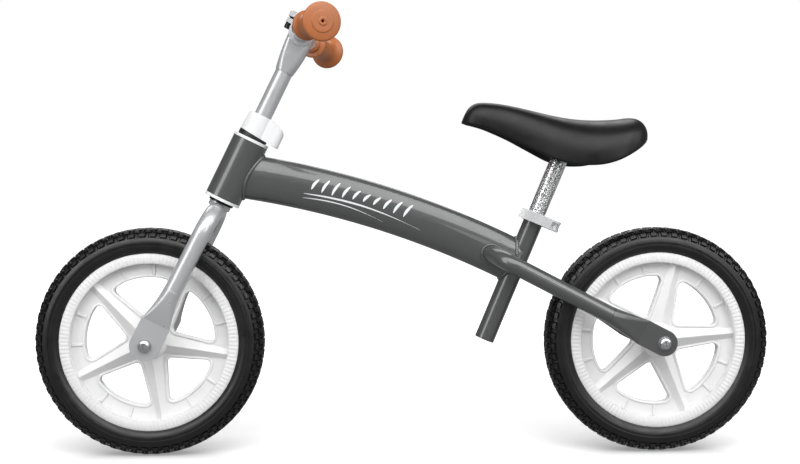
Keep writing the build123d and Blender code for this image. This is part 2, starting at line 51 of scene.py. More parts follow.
JOINTS = {joint["name"]: joint for joint in frame["joints"]}
FRONT_AXLE = Vector(JOINTS["front_wheel_spin"]["pos_m"])
REAR_AXLE = Vector(JOINTS["rear_wheel_spin"]["pos_m"])
HEAD_BOTTOM = Vector(JOINTS["steering"]["pos_m"])
STEER_AXIS = Vector(JOINTS["steering"]["axis"]).normalized()
SEAT_AXIS = Vector(JOINTS["seat_height"]["axis"]).normalized()
SEAT_BOTTOM = Vector((-102.2, 0, 145.2)) * MM
BAR_CENTRE = Vector(JOINTS["bar_tilt"]["pos_m"])
SIDEWAYS = Vector((0, 1, 0))


# ---- nodes and materials ---------------------------------------------------------------------
def linear(red, green, blue):
    """A colour given as 0-255 screen values, as the linear colour that shaders use."""
    def channel(value):
        value /= 255
        return value / 12.92 if value <= 0.04045 else ((value + 0.055) / 1.055) ** 2.4
    return (channel(red), channel(green), channel(blue), 1)


def scaled(colour, amount):
    return tuple(min(1, part * amount) for part in colour[:3]) + (1,)


class Recipe:
    """A material being put together from nodes."""

    def __init__(self, name):
        self.material = bpy.data.materials.new(name)
        self.material.use_nodes = True
        self.tree = self.material.node_tree
        self.tree.nodes.clear()
        self.output = self.add("ShaderNodeOutputMaterial")
        self.shader = self.add("ShaderNodeBsdfPrincipled")
        self.link(self.shader, "BSDF", self.output, "Surface")
        self.place = self.add("ShaderNodeTexCoord")

    def add(self, kind, **values):
        node = self.tree.nodes.new(kind)
        for key, value in values.items():
            if key in node.inputs:
                node.inputs[key].default_value = value
            else:
                setattr(node, key, value)
        return node

    def link(self, source, output, target, socket):
        self.tree.links.new(source.outputs[output], target.inputs[socket])

    def noise(self, scale, detail=3, roughness=0.5, stretch=None):
        node = self.add("ShaderNodeTexNoise", Scale=scale, Detail=detail, Roughness=roughness)
        if stretch:
            mapping = self.add("ShaderNodeMapping", Scale=stretch)
            self.link(self.place, "Object", mapping, "Vector")
            self.link(mapping, "Vector", node, "Vector")
        else:
            self.link(self.place, "Object", node, "Vector")
        return node

    def spread(self, source, output, low, high, start=0.3, end=0.7):
        """Maps a texture's value onto the range low to high."""
        node = self.add("ShaderNodeMapRange")
        for key, value in (("From Min", start), ("From Max", end), ("To Min", low), ("To Max", high)):
            node.inputs[key].default_value = value
        self.link(source, output, node, "Value")
        return node

    def mix(self, factor, output, first, second):
        node = self.add("ShaderNodeMix", data_type="RGBA")
        colour_inputs = [socket for socket in node.inputs if socket.type == "RGBA"]
        colour_inputs[0].default_value = first
        colour_inputs[1].default_value = second
        self.tree.links.new(factor.outputs[output], node.inputs[0])
        return node

    def set(self, **values):
        for key, value in values.items():
            self.shader.inputs[key.replace("_", " ")].default_value = value

    def paint(self, mixer):
        colour = [socket for socket in mixer.outputs if socket.type == "RGBA"][0]
        self.tree.links.new(colour, self.shader.inputs["Base Color"])

    def bump(self, source, output, distance, edge=0.0, strength=1.0):
        """Surface relief, on edges that are softened by the width given as edge."""
        node = self.add("ShaderNodeBump", Distance=distance, Strength=strength)
        self.link(source, output, node, "Height")
        if edge:
            soft = self.add("ShaderNodeBevel", Radius=edge, samples=4)
            self.link(soft, "Normal", node, "Normal")
        self.link(node, "Normal", self.shader, "Normal")
        return node


def finish(name, colour, rough, mottle=0.06, grain=900, relief=0.00003, edge=0.0004,
           rough_spread=0.06, **values):
    """A hard finish: uneven colour, uneven gloss, a fine grain and softened edges."""
    recipe = Recipe(name)
    broad = recipe.noise(30, 4)
    fine = recipe.noise(grain, 3)
    recipe.paint(recipe.mix(
        recipe.spread(broad, "Fac", 0, 1), "Result",
        scaled(colour, 1 - mottle), scaled(colour, 1 + mottle),
    ))
    gloss = recipe.spread(recipe.noise(70, 5), "Fac", rough - rough_spread, rough + rough_spread)
    recipe.link(gloss, "Result", recipe.shader, "Roughness")
    recipe.bump(fine, "Fac", relief, edge)
    recipe.set(**values)
    return recipe


PAINT_GREY = linear(76, 77, 77)
SILVER = linear(198, 199, 201)
CHROME = linear(238, 239, 240)
ZINC = linear(196, 198, 200)
WHITE = linear(232, 233, 234)
WHEEL_WHITE = linear(228, 228, 228)
TYRE_BLACK = linear(10, 9, 9)
TERRACOTTA = linear(168, 97, 50)
SADDLE_BLACK = linear(12, 12, 13)
BLACK_PLASTIC = linear(28, 28, 29)
BLACK_STEEL = linear(34, 34, 36)
DECAL_WHITE = linear(226, 230, 232)


def metal_flake(recipe, colour):
    """Paint with very fine metal flake that shows as a slight sparkle."""
    flake = recipe.add("ShaderNodeTexVoronoi", Scale=3800)
    recipe.link(recipe.place, "Object", flake, "Vector")
    recipe.paint(recipe.mix(
        recipe.spread(flake, "Distance", 0, 1, 0.1, 0.6), "Result",
        scaled(colour, 1.12), scaled(colour, 0.92),
    ))


def knurled_chrome():
    """Chrome over a surface pressed all over with small pits, each darkened with painted shade."""
    recipe = Recipe("knurled_chrome")
    pits = recipe.add("ShaderNodeTexVoronoi", Scale=430, Randomness=0.75)
    recipe.link(recipe.place, "Object", pits, "Vector")
    depth = recipe.spread(pits, "Distance", 0, 1, 0.16, 0.5)
    # painted shade: the chrome is darkened nearly to black inside each pit, where shade falls
    recipe.paint(recipe.mix(depth, "Result", scaled(CHROME, 0.05), CHROME))
    gloss = recipe.spread(recipe.noise(300, 3), "Fac", 0.1, 0.2)
    recipe.link(gloss, "Result", recipe.shader, "Roughness")
    recipe.bump(depth, "Result", 0.0005)
    recipe.set(Metallic=1.0)
    return recipe.material


PLATED_NODES = ("seat_lever", "seat_collar", "seat_skewer_nut", "seat_skewer")


def make_materials():
    made = {}
    paint = finish("frame_paint", PAINT_GREY, 0.34, relief=0.00001, edge=0.0006,
                   Metallic=0.15, Coat_Weight=1.0, Coat_Roughness=0.035)
    metal_flake(paint, PAINT_GREY)
    made["frame_paint"] = paint.material
    silver = finish("silver_paint", SILVER, 0.33, relief=0.00001, edge=0.0007,
                    Metallic=0.5, Coat_Weight=0.6, Coat_Roughness=0.08)
    metal_flake(silver, SILVER)
    made["silver_paint"] = silver.material
    made["chrome"] = finish(
        "chrome", CHROME, 0.13, 0.03, grain=500, relief=0.000015, edge=0.0003,
        rough_spread=0.03, Metallic=1.0).material
    made["zinc_steel"] = finish(
        "zinc_steel", ZINC, 0.24, 0.08, grain=1400, relief=0.00002, edge=0.0003,
        rough_spread=0.08, Metallic=1.0).material
    made["plated_steel"] = finish(
        "plated_steel", CHROME, 0.2, 0.03, grain=900, relief=0.00001, edge=0.0006,
        rough_spread=0.03, Metallic=0.55, Coat_Weight=0.8, Coat_Roughness=0.06).material
    made["knurled_chrome"] = knurled_chrome()
    made["white_plastic"] = finish(
        "white_plastic", WHITE, 0.3, 0.015, grain=1600, relief=0.00001, edge=0.0009,
        Subsurface_Weight=0.3, Subsurface_Scale=0.003, Subsurface_Radius=(1, 1, 1)).material
    made["wheel_plastic"] = finish(
        "wheel_plastic", WHEEL_WHITE, 0.42, 0.02, grain=1300, relief=0.000025,
        edge=0.0016, Subsurface_Weight=0.4, Subsurface_Scale=0.004,
        Subsurface_Radius=(1, 1, 1)).material
    made["tyre_foam"] = finish(
        "tyre_foam", TYRE_BLACK, 0.36, 0.2, grain=1500, relief=0.00005, edge=0.0,
        rough_spread=0.09, Specular_IOR_Level=0.52).material
    made["grip_rubber"] = finish(
        "grip_rubber", TERRACOTTA, 0.42, 0.07, grain=1200, relief=0.00004, edge=0.0,
        Coat_Weight=0.15, Coat_Roughness=0.3).material
    made["saddle_cover"] = finish(
        "saddle_cover", SADDLE_BLACK, 0.37, 0.12, grain=1700, relief=0.00006, edge=0.0,
        Specular_IOR_Level=0.32).material
    made["black_plastic"] = finish(
        "black_plastic", BLACK_PLASTIC, 0.4, 0.12, relief=0.00003, edge=0.0005).material
    made["black_steel"] = finish(
        "black_steel", BLACK_STEEL, 0.3, 0.1, relief=0.00002, edge=0.0003,
        Metallic=0.6).material
    made["decal"] = finish(
        "decal", DECAL_WHITE, 0.3, 0.02, relief=0.00001, edge=0.0,
        Coat_Weight=0.6, Coat_Roughness=0.08).material
    return made


# ---- mesh helpers ----------------------------------------------------------------------------
def add_mesh(name, points, faces, material, body, smooth=True):
    """A new piece that rides on a body."""
    mesh = bpy.data.meshes.new(name)
    mesh.from_pydata([tuple(point) for point in points], [], faces)
    mesh.validate()
    work = bmesh.new()
    work.from_mesh(mesh)
    bmesh.ops.recalc_face_normals(work, faces=work.faces)
    work.to_mesh(mesh)
    work.free()
    for polygon in mesh.polygons:
        polygon.use_smooth = smooth
    mesh.materials.append(MATERIALS[material])
    piece = bpy.data.objects.new(name, mesh)
    bpy.context.scene.collection.objects.link(piece)
    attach(piece, body)
    return piece


def grid_faces(rows, columns, wrap_rows=False, wrap_columns=True):
    """Quads of a grid whose points are stored row by row."""
    faces = []
    for row in range(rows if wrap_rows else rows - 1):
        following = (row + 1) % rows
        for column in range(columns if wrap_columns else columns - 1):
            beside = (column + 1) % columns
            faces.append((
                row * columns + column, row * columns + beside,
                following * columns + beside, following * columns + column,
            ))
    return faces


def shifted(faces, first):
    """The same faces, for points that start at the index first."""
    return [tuple(first + index for index in face) for face in faces]


def smooth_line(points, steps):
    """Points on a smooth curve through the given points, with steps per stretch."""
    line = [Vector(point) for point in points]
    padded = [2 * line[0] - line[1]] + line + [2 * line[-1] - line[-2]]
    result = []
    for index in range(1, len(padded) - 2):
        before, start, end, after = padded[index - 1:index + 3]
        for step in range(steps):
            t = step / steps
            result.append(0.5 * (
                2 * start + (end - before) * t
                + (2 * before - 5 * start + 4 * end - after) * t ** 2
                + (3 * start - before - 3 * end + after) * t ** 3
            ))
    return result + [line[-1]]


def interpolate(table, value):
    """Smooth reading of a table of (key, value) pairs sorted by key."""
    if value <= table[0][0]:
        return table[0][1]
    if value >= table[-1][0]:
        return table[-1][1]
    for index in range(len(table) - 1):
        if table[index][0] <= value <= table[index + 1][0]:
            break
    x0, y0 = table[index]
    x1, y1 = table[index + 1]
    before = table[max(0, index - 1)]
    after = table[min(len(table) - 1, index + 2)]
    slope0 = (y1 - before[1]) / (x1 - before[0])
    slope1 = (after[1] - y0) / (after[0] - x0)
    t = (value - x0) / (x1 - x0)
    span = x1 - x0
    return (
        (2 * t ** 3 - 3 * t ** 2 + 1) * y0 + (t ** 3 - 2 * t ** 2 + t) * span * slope0
        + (3 * t ** 2 - 2 * t ** 3) * y1 + (t ** 3 - t ** 2) * span * slope1
    )


def turned(centre, axis, profile, columns, close=False):
    """Points and faces of a profile of (along, radius) in mm turned round an axis."""
    axis = axis.normalized()
    side = axis.orthogonal().normalized()
    other = axis.cross(side)
    points = []
    for along, radius in profile:
        for column in range(columns):
            angle = 2 * math.pi * column / columns
            out = side * math.cos(angle) + other * math.sin(angle)
            points.append(centre + axis * along * MM + out * radius * MM)
    return points, grid_faces(len(profile), columns, wrap_rows=close)


# ---- tyres -----------------------------------------------------------------------------------
TREAD_PITCHES = 64
BLOCK_FLANK = 0.19
RIDGE_FLANK = 0.05
ROW_FLANK = 0.16
LEDGE_START = 0.9
RIDGE = (0.0, 0.045)
BLOCK = (0.15, BLOCK_FLANK, 0.34, 0.5)
RIDGE_HEIGHT = 0.8
LEDGE_HEIGHT = 0.55
SHOULDER_ROWS = 3
WEAR = 0.25
TREAD_CREASE = 38
TREAD_DEPTH = 2.3
BAND_DEPTH = 0.9
BAND_STEPS = 5
BAND_START = 0.15
CROWN_HALF = 6.0
TYRE_RADIUS = 145.0
BEAD_RADIUS = 112.9
BEAD_HALF = 14
SIDEWALL = [(BEAD_RADIUS, 17.2), (116.5, 20.2), (121, 22.0), (124.6, 22.1)]
STEP = [(125.1, 22.3), (125.3, 23.1), (126.2, 23.1), (126.9, 22.4)]
OUTLINE = [(127.2, 23.3), (131, 22.4), (135, 20.6), (139, 17.6), (142, 13.8), (144.1, 9.6),
           (TYRE_RADIUS, CROWN_HALF)]
SHOULDER = 134.2
ROW_STOPS = (0.0, 0.1, 0.17, 0.5, 0.83, 0.9)


def pitch_stops():
    """Where the columns of one tread pitch lie: fine at the flanks of the blocks of every row."""
    half = [*RIDGE, 0.09, *BLOCK]
    mirrored = [1 - stop for stop in half if stop > 0]
    stops = set(round(stop, 4) for stop in half + mirrored)
    stops |= set(round((stop + 0.5) % 1, 4) for stop in stops)
    return sorted(stops)


def along_outline(line, distance):
    """The point and outward normal at a distance along a flat line of (radius, y) points."""
    for start, end in zip(line, line[1:]):
        step = end - start
        if distance <= step.length or end is line[-1]:
            normal = Vector((-step.y, step.x)).normalized()
            return start + step * min(1, distance / step.length), normal
        distance -= step.length


def tyre_rings():
    """Half of the tyre's section, bead to crown: (radius, y, normal, tread row and share)."""
    rings = [(point.x, point.y, Vector((0, 1)), None) for point in smooth_line(
        [(radius, y, 0) for radius, y in SIDEWALL], 4)]
    rings += [(radius, y, Vector((0, 1)), None) for radius, y in STEP]
    outline = [point.to_2d() for point in smooth_line([(r, y, 0) for r, y in OUTLINE], 8)]
    lengths = [(end - start).length for start, end in zip(outline, outline[1:])]
    start = sum(length for length, point in zip(lengths, outline[1:]) if point.x <= SHOULDER)
    for step in range(BAND_STEPS):
        point, normal = along_outline(outline, start * (step + BAND_START) / BAND_STEPS)
        point = point - normal * BAND_DEPTH
        rings.append((point.x, point.y, normal, None))
    row_length = (sum(lengths) - start) / SHOULDER_ROWS
    for row in range(SHOULDER_ROWS):
        for stop in ROW_STOPS:
            point, normal = along_outline(outline, start + row_length * (row + stop))
            rings.append((point.x, point.y, normal, (row, stop)))
    for stop in ROW_STOPS:
        if stop <= 0.5:
            y = CROWN_HALF * (1 - 2 * stop)
            rings.append((TYRE_RADIUS, y, Vector((1, 0)), (SHOULDER_ROWS, stop)))
    return rings


def tread_height(row, stop, share):
    """How far the tread stands out: 1 on a block, 0 in a groove and between on the ridges."""
    if row % 2:
        share = (share + 0.5) % 1
    share = min(share, 1 - share)
    across = min(stop, 1 - stop)
    if share >= BLOCK_FLANK and across >= ROW_FLANK:
        return 1.0
    if share <= RIDGE_FLANK and (row != SHOULDER_ROWS or across >= ROW_FLANK):
        return RIDGE_HEIGHT
    if row == 0 and stop >= LEDGE_START and share >= BLOCK_FLANK:
        return LEDGE_HEIGHT
    return 0.0


def tyre(name, axle, body, node):
    half = tyre_rings()
    other = [(r, -y, Vector((n.x, -n.y)), tread) for r, y, n, tread in half if y > 0.01]
    rings = half + other[::-1]
    rings += [(BEAD_RADIUS, y, Vector((-1, 0)), None) for y in (-BEAD_HALF, BEAD_HALF)]
    stops = pitch_stops()
    columns = [(turn, stop) for turn in range(TREAD_PITCHES) for stop in stops]
    wear = [
        [random.uniform(0, WEAR) for _ in range(TREAD_PITCHES)] for _ in range(SHOULDER_ROWS + 1)
    ]
    points = []
    for radius, y, normal, tread in rings:
        for turn, stop in columns:
            depth = 0.0
            if tread:
                row, across = tread
                depth = TREAD_DEPTH * (1 - tread_height(row, across, stop)) + wear[row][turn]
            angle = 2 * math.pi * (turn + stop) / TREAD_PITCHES
            r = radius - normal.x * depth
            offset = y - normal.y * depth
            points.append(axle + Vector((r * math.cos(angle), offset, r * math.sin(angle))) * MM)
    faces = grid_faces(len(rings), len(columns), wrap_rows=True)
    piece = add_mesh(name, points, faces, "tyre_foam", body)
    piece.data.set_sharp_from_angle(angle=math.radians(TREAD_CREASE))
    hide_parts(node)


# ---- wheels ----------------------------------------------------------------------------------
RIB_COUNT = 136
RIB_RISE = 0.38
RIB_VALLEY = 0.35
RIB_SHARES = ((0.0, 0.0), (0.12, 0.0), (0.2, 1.0), (0.6, 1.0), (0.92, 1.0))
BAND_LOW = 100.4
BAND_MIDDLE = 106
BAND_HIGH = 112.5
BAND_BEVEL = 0.5
BAND_SINK = 0.05
RIM_FACE = 17.0


def rim_band(name, axle, body):
    """The finely ribbed ring on both faces of the rim channel."""
    per_rib = len(RIB_SHARES)
    columns = per_rib * RIB_COUNT
    profile = [
        (BAND_LOW, 0.0), (BAND_LOW + BAND_BEVEL, 1.0), (BAND_MIDDLE, 1.0),
        (BAND_HIGH - BAND_BEVEL, 1.0), (BAND_HIGH, 0.0),
    ]
    points = []
    faces = []
    for side in (1, -1):
        first = len(points)
        for radius, share in profile:
            for column in range(columns):
                start, height = RIB_SHARES[column % per_rib]
                rise = RIB_RISE * share * (RIB_VALLEY + (1 - RIB_VALLEY) * height)
                angle = 2 * math.pi * (column // per_rib + start) / RIB_COUNT
                y = side * (RIM_FACE - BAND_SINK + rise)
                place = Vector((radius * math.cos(angle), y, radius * math.sin(angle)))
                points.append(axle + place * MM)
        faces += shifted(grid_faces(len(profile), columns), first)
    add_mesh(name, points, faces, "wheel_plastic", body)


SPOKES = 5
WINDOW_APEX = 26
WINDOW_CORNER_R = 84
WINDOW_CORNER_ANGLE = 29.8
WINDOW_FILLET = 8
WINDOW_CORNER_TURN = 12
WINDOW_ARC_MARGIN = 10
WINDOW_ARC_STEPS = 12
CORNER_STEPS = 8
WEB_HALF = 6
LIP_RADIUS = 1.5
LIP_SPREAD = 1.3
LIP_SINK = 0.5
LIP_SIDES = 10


def corner_arc(before, corner, after, radius, steps):
    """Points round a corner that is rounded off with a radius."""
    first = (before - corner).normalized()
    second = (after - corner).normalized()
    half = first.angle(second) / 2
    centre = corner + (first + second).normalized() * radius / math.sin(half)
    start = corner + first * radius / math.tan(half) - centre
    end = corner + second * radius / math.tan(half) - centre
    return [centre + start.slerp(end, step / steps).normalized() * radius for step in range(steps + 1)]


def window_outline(middle):
    """The edge of one rim window in the wheel's plane, as (x, z) points in mm."""
    def at(radius, angle):
        turn = math.radians(angle)
        return Vector((radius * math.cos(turn), radius * math.sin(turn)))

    apex = at(WINDOW_APEX, middle)
    low = at(WINDOW_CORNER_R, middle - WINDOW_CORNER_ANGLE)
    high = at(WINDOW_CORNER_R, middle + WINDOW_CORNER_ANGLE)
    line = corner_arc(low, apex, high, WINDOW_FILLET, CORNER_STEPS)
    rim_low = at(WINDOW_CORNER_R, middle - WINDOW_CORNER_ANGLE + WINDOW_CORNER_TURN)
    rim_high = at(WINDOW_CORNER_R, middle + WINDOW_CORNER_ANGLE - WINDOW_CORNER_TURN)
    line += corner_arc(apex, high, rim_high, WINDOW_FILLET, CORNER_STEPS)
    spread = WINDOW_CORNER_ANGLE - WINDOW_ARC_MARGIN
    for step in range(1, WINDOW_ARC_STEPS):
        line.append(at(WINDOW_CORNER_R, middle + spread - 2 * spread * step / WINDOW_ARC_STEPS))
    line += corner_arc(rim_low, low, apex, WINDOW_FILLET, CORNER_STEPS)
    return line


def window_lips(name, axle, body, first_spoke):
    """The rounded lips that run round the windows on both faces of the web."""
    points = []
    faces = []
    for index in range(SPOKES):
        outline = window_outline(first_spoke + (index + 0.5) * 360 / SPOKES)
        count = len(outline)
        for face in (1, -1):
            first = len(points)
            for step, here in enumerate(outline):
                along = (outline[(step + 1) % count] - outline[step - 1]).normalized()
                normal = Vector((-along.y, along.x))
                for side in range(LIP_SIDES):
                    angle = 2 * math.pi * side / LIP_SIDES
                    flat = here + normal * LIP_RADIUS * LIP_SPREAD * math.cos(angle)
                    y = face * (WEB_HALF - LIP_SINK) + LIP_RADIUS * math.sin(angle)
                    points.append(axle + Vector((flat.x, y, flat.y)) * MM)
            faces += shifted(grid_faces(count, LIP_SIDES, wrap_rows=True), first)
    add_mesh(name, points, faces, "wheel_plastic", body)


# ---- grips -----------------------------------------------------------------------------------
BAR_STRAIGHT = 65
BAR_END_BACK = 28.7
BAR_END_OUT = 92
BAR_END_DOWN = 5.4
GRIP_START = 29.5
GRIP_COLUMNS = 96


def grip_profile():
    """(along, radius) of one grip in mm, from the inner flange to the hole in the end."""
    key = [
        (0, 11.3), (0, 16.2), (0.6, 17.6), (1.8, 18.1), (3.4, 17.8), (4.8, 16.4), (7, 14.9), (11, 13.9),
        (24, 13.5), (44, 13.6), (50, 13.9), (55, 14.9), (58.5, 17), (60.8, 19.4), (62.6, 21.4),
        (64.3, 22.5), (66, 22.8), (67.3, 22.3), (68.2, 21.1), (68.9, 17.9), (69.4, 14.6), (69.6, 13.2),
        (70.1, 12.7), (70.4, 12.0), (70.6, 9), (70.7, 5.2), (71.3, 4.6), (71.5, 3.6), (71.3, 2.4),
        (70.2, 1.7), (67.4, 1.5),
    ]
    line = smooth_line([(along, radius, 0) for along, radius in key], 3)
    return [(point.x, point.y) for point in line]


def grip(name, side, node):
    corner = BAR_CENTRE + Vector((0, side * BAR_STRAIGHT, 0)) * MM
    axis = Vector((-BAR_END_BACK, side * BAR_END_OUT, -BAR_END_DOWN)).normalized()
    start = corner + axis * GRIP_START * MM
    points, faces = turned(start, axis, grip_profile(), GRIP_COLUMNS)
    piece = add_mesh(name, points, faces, "grip_rubber", "bar")
    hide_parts(node)


# ---- saddle ----------------------------------------------------------------------------------
SADDLE_TOP = [
    (-308.3, 408), (-306, 418.5), (-300, 426.5), (-289, 430), (-268, 428), (-245, 427), (-220, 428),
    (-196, 431.5), (-170, 437.4), (-144, 443.6), (-120, 448), (-101, 449.5), (-91, 448.6),
    (-83.5, 444.6), (-78, 437.5), (-72.4, 425),
]
SADDLE_EDGE = [
    (-308.3, 405), (-304, 399), (-293, 390.5), (-278, 381.5), (-262, 374), (-245, 369.4), (-230, 368.2),
    (-214, 368.7), (-200, 371), (-184, 376.6), (-168, 384.4), (-150, 393.4), (-135, 401), (-117, 409),
    (-100, 415.7), (-86, 419.4), (-78, 421), (-72.4, 423),
]
SADDLE_HALF_WIDTH = [
    (-308.3, 14), (-306, 30), (-300, 43), (-292, 52), (-280, 59.4), (-266, 63), (-250, 63.8),
    (-232, 61.4), (-212, 55), (-192, 46.5), (-172, 37.6), (-150, 29.8), (-130, 25), (-110, 22.4),
    (-95, 20), (-84, 16.2), (-77, 11), (-73.4, 6), (-72.4, 2),
]
SADDLE_STATIONS = 84
SADDLE_ARC = 18
LIP = 3.2
SIDE_FULLNESS = 0.86
TOP_FULLNESS = 0.74
HOLLOW_HEIGHT = 0.47


def saddle_section(x):
    """One cross-section of the saddle in mm, from one lip over the top to the other, as (y, z)."""
    top = interpolate(SADDLE_TOP, x)
    edge = interpolate(SADDLE_EDGE, x)
    half = max(1.5, interpolate(SADDLE_HALF_WIDTH, x))
    height = max(1.5, top - edge)
    lip = min(LIP, 0.3 * height, 0.4 * half)
    over = []
    for step in range(SADDLE_ARC + 1):
        angle = math.pi / 2 * step / SADDLE_ARC
        y = half * math.sin(angle) ** SIDE_FULLNESS
        z = edge + lip + (height - lip) * math.cos(angle) ** TOP_FULLNESS
        over.append((y, z))
    ceiling = edge + HOLLOW_HEIGHT * height
    under = [
        (half - 0.1 * lip, edge + 0.45 * lip), (half - 0.5 * lip, edge), (half - lip, edge + 0.3 * lip),
        (half - 1.25 * lip, edge + 1.2 * lip), (0.86 * (half - lip), ceiling - 0.25 * (ceiling - edge)),
        (0.72 * (half - lip), ceiling), (0.36 * half, ceiling), (0, ceiling),
    ]
    right = over + under
    left = [(-y, z) for y, z in right[1:-1]][::-1]
    return right + left


def saddle():
    """The moulded foam saddle: cross-sections from tail to nose, hollow underneath."""
    low, high = SADDLE_TOP[0][0], SADDLE_TOP[-1][0]
    sections = []
    for station in range(SADDLE_STATIONS + 1):
        share = 0.5 - 0.5 * math.cos(math.pi * station / SADDLE_STATIONS)
        x = low + (high - low) * share
        sections.append([Vector((x, y, z)) * MM for y, z in saddle_section(x)])
    columns = len(sections[0])
    points = [point for section in sections for point in section]
    faces = grid_faces(len(sections), columns)
    faces.append(tuple(range(columns)))
    faces += shifted([tuple(range(columns))], (len(sections) - 1) * columns)
    piece = add_mesh("saddle_cover", points, faces, "saddle_cover", "seat")
    soften = piece.modifiers.new("soften", "SUBSURF")
    soften.levels = 1
    soften.render_levels = 1
    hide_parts("saddle_pad")


# ---- frame tube geometry ---------------------------------------------------------------------
TUBE_START = Vector((218, 0, 357.3))
TUBE_MIDDLE = Vector((37.3, 0, 317.1))
TUBE_END = Vector((-143.5, 0, 244.5))
TUBE_HALF_WIDTH = 15.0
TUBE_HALF_DEPTH = 28.5
HEAD_RADIUS = 23.1
SEAT_RADIUS = 12.7
STAY_RADIUS = 11.1


def arc_centre(first, second, third):
    """The centre and radius of the circle through three points in the XZ plane."""
    rows = []
    for a, b in ((first, second), (second, third)):
        rows.append((b.x - a.x, b.z - a.z, (b.x ** 2 - a.x ** 2 + b.z ** 2 - a.z ** 2) / 2))
    (a, b, c), (d, e, f) = rows
    determinant = a * e - b * d
    centre = Vector(((c * e - b * f) / determinant, 0, (a * f - c * d) / determinant))
    return centre, (first - centre).length


ARC_CENTRE, ARC_RADIUS = arc_centre(TUBE_START, TUBE_MIDDLE, TUBE_END)


def tube_frame(x):
    """The main tube's axis point over x, and its outward direction there, in mm."""
    drop = math.sqrt(ARC_RADIUS ** 2 - (x - ARC_CENTRE.x) ** 2)
    point = Vector((x, 0, ARC_CENTRE.z + drop))
    return point, (point - ARC_CENTRE).normalized()


def tube_surface(x, up, lift, side=1):
    """A point on the main tube's flank at a height up from its axis, raised by lift, in mm."""
    point, outward = tube_frame(x)
    angle = math.asin(max(-1, min(1, up / TUBE_HALF_DEPTH)))
    across = TUBE_HALF_WIDTH * math.cos(angle)
    normal = Vector((0, math.cos(angle) / TUBE_HALF_WIDTH, 0))
    normal += outward * math.sin(angle) / TUBE_HALF_DEPTH
    normal = normal.normalized()
    place = point + outward * up + SIDEWAYS * across + normal * lift
    return Vector((place.x, side * place.y, place.z))


def tube_value(point):
    """Below 1 inside the main tube, 1 on its surface and above 1 outside."""
    rise = (Vector((point.x, 0, point.z)) - ARC_CENTRE).length - ARC_RADIUS
    return math.hypot(rise / TUBE_HALF_DEPTH, point.y / TUBE_HALF_WIDTH)


# ---- weld beads ------------------------------------------------------------------------------
RIPPLE = 3.0
BEAD_SIDES = 12
HALVINGS = 30


def crossing(reached, low, high):
    """The distance between low and high up to which a point is not yet reached."""
    for _ in range(HALVINGS):
        middle = (low + high) / 2
        if reached(middle):
            high = middle
        else:
            low = middle
    return low


def circle_angles(steps):
    return [2 * math.pi * step / steps for step in range(steps)]


def weld(name, path, radius, body, material, node=None):
    """A closed bead of weld with the overlapping ripples of a welding torch."""
    lengths = [0.0]
    for start, end in zip(path, path[1:] + path[:1]):
        lengths.append(lengths[-1] + (end - start).length)
    turns = max(6, round(lengths[-1] / RIPPLE))
    count = len(path)
    points = []
    for index, here in enumerate(path):
        along = (path[(index + 1) % count] - path[index - 1]).normalized()
        side = along.cross(Vector((0.13, 0.21, 0.97))).normalized()
        other = along.cross(side)
        phase = (lengths[index] / lengths[-1] * turns) % 1
        swell = radius * (0.78 + 0.34 * math.sin(math.pi * phase) + 0.05 * random.random())
        for angle in circle_angles(BEAD_SIDES):
            out = side * math.cos(angle) + other * math.sin(angle)
            points.append((here + out * swell) * MM)
    piece = add_mesh(name, points, grid_faces(count, BEAD_SIDES, wrap_rows=True), material, body)
    if node:
        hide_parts(node)


def around(axis_point, axis, point):
    """How far a point is from an axis, in mm."""
    offset = point - axis_point
    return (offset - axis * offset.dot(axis)).length


HEAD_WELD_X = 200
SEAT_WELD_X = -120
SEAT_WELD_SPREAD = 0.6
STAY_WELD_SPREAD = 0.6


def head_weld_path():
    """Where the main tube's surface, carried forward, meets the head tube."""
    base, outward = tube_frame(HEAD_WELD_X)
    forward = outward.cross(SIDEWAYS)
    if forward.x < 0:
        forward = -forward
    head = HEAD_BOTTOM / MM
    path = []
    for angle in circle_angles(160):
        start = base + outward * TUBE_HALF_DEPTH * math.sin(angle)
        start += SIDEWAYS * TUBE_HALF_WIDTH * math.cos(angle) - forward * 40
        travel = crossing(
            lambda ahead: around(head, STEER_AXIS, start + forward * ahead) <= HEAD_RADIUS, 0.0, 60.0)
        path.append(start + forward * travel)
    return path


def seat_weld_path():
    """Round the end of the main tube, which reaches the seat tube's axis at its widest."""
    base, outward = tube_frame(SEAT_WELD_X)
    backward = SIDEWAYS.cross(outward)
    if backward.x > 0:
        backward = -backward
    seat = SEAT_BOTTOM / MM
    level_run = (backward - SEAT_AXIS * backward.dot(SEAT_AXIS)).x
    path = []
    for angle in circle_angles(150):
        y = TUBE_HALF_WIDTH * math.cos(angle)
        start = base + outward * TUBE_HALF_DEPTH * math.sin(angle)
        offset = start - seat
        ahead = (offset - SEAT_AXIS * offset.dot(SEAT_AXIS)).x / SEAT_AXIS.z
        reach = SEAT_RADIUS * math.sqrt(1 - (y / (TUBE_HALF_WIDTH + SEAT_WELD_SPREAD)) ** 2)
        travel = (ahead - reach) / -level_run * SEAT_AXIS.z
        path.append(start + backward * travel + SIDEWAYS * y)
    return path


STAY_END_X = -325
STAY_END_HEIGHT = 145
STAY_TOP_X = -116
STAY_TOP_HEIGHT = 253.2
STAY_ROOT = (-105, 4)
STAY_BEND = (-127, 41)


def stay_point(x, y):
    """A point on the sloping plane of the stays, over x and y in mm."""
    slope = (STAY_TOP_HEIGHT - STAY_END_HEIGHT) / (STAY_TOP_X - STAY_END_X)
    return Vector((x, y, STAY_END_HEIGHT + (x - STAY_END_X) * slope))


